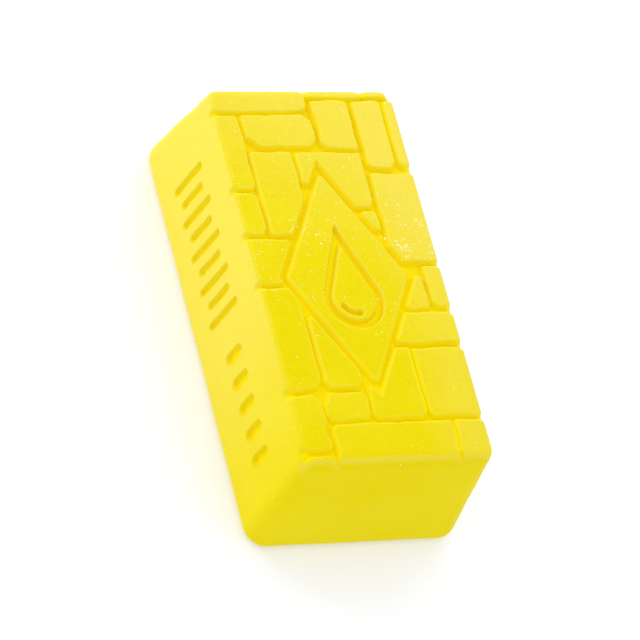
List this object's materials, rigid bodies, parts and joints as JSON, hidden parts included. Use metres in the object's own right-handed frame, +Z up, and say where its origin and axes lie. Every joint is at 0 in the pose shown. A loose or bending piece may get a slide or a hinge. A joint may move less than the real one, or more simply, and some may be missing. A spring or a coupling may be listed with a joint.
{
  "type": "detailing clay bar",
  "caption": "Moulded rectangular clay bar with leaning sides and rounded edges, a raised paving-stone relief around a lozenge on its upper face, and flutes on one long side.",
  "frame": {"origin": "middle of the flat face that the bar rests on", "axes": "+X along the bar's length, towards the end with the long crosswise stone; -Y out of the fluted long side; +Z up to the stones"},
  "size_m": [0.0952, 0.0478, 0.0295],
  "materials": {
    "clay": "satin"
  },
  "bodies": {
    "root": {"bar_body": "clay", "lozenge_panel": "clay", "stone_far_corner": "clay", "stone_far_inner_long": "clay", "stone_far_middle": "clay", "stone_far_outer_long": "clay", "stone_far_strip_lower": "clay", "stone_far_strip_upper": "clay", "stone_left_edge_1": "clay", "stone_left_edge_2": "clay", "stone_left_edge_3": "clay", "stone_left_edge_4": "clay", "stone_left_edge_5": "clay", "stone_left_of_far_middle": "clay", "stone_lozenge_far_left": "clay", "stone_lozenge_far_tip": "clay", "stone_lozenge_near_left": "clay", "stone_lozenge_near_tip": "clay", "stone_lozenge_right_tip": "clay", "stone_lozenge_sliver": "clay", "stone_near_corner": "clay", "stone_near_end_long": "clay", "stone_near_end_short": "clay", "stone_near_small": "clay", "stone_right_edge_1": "clay", "stone_right_edge_2": "clay", "stone_right_edge_3": "clay", "stone_right_edge_4": "clay"}
  },
  "joints": []
}
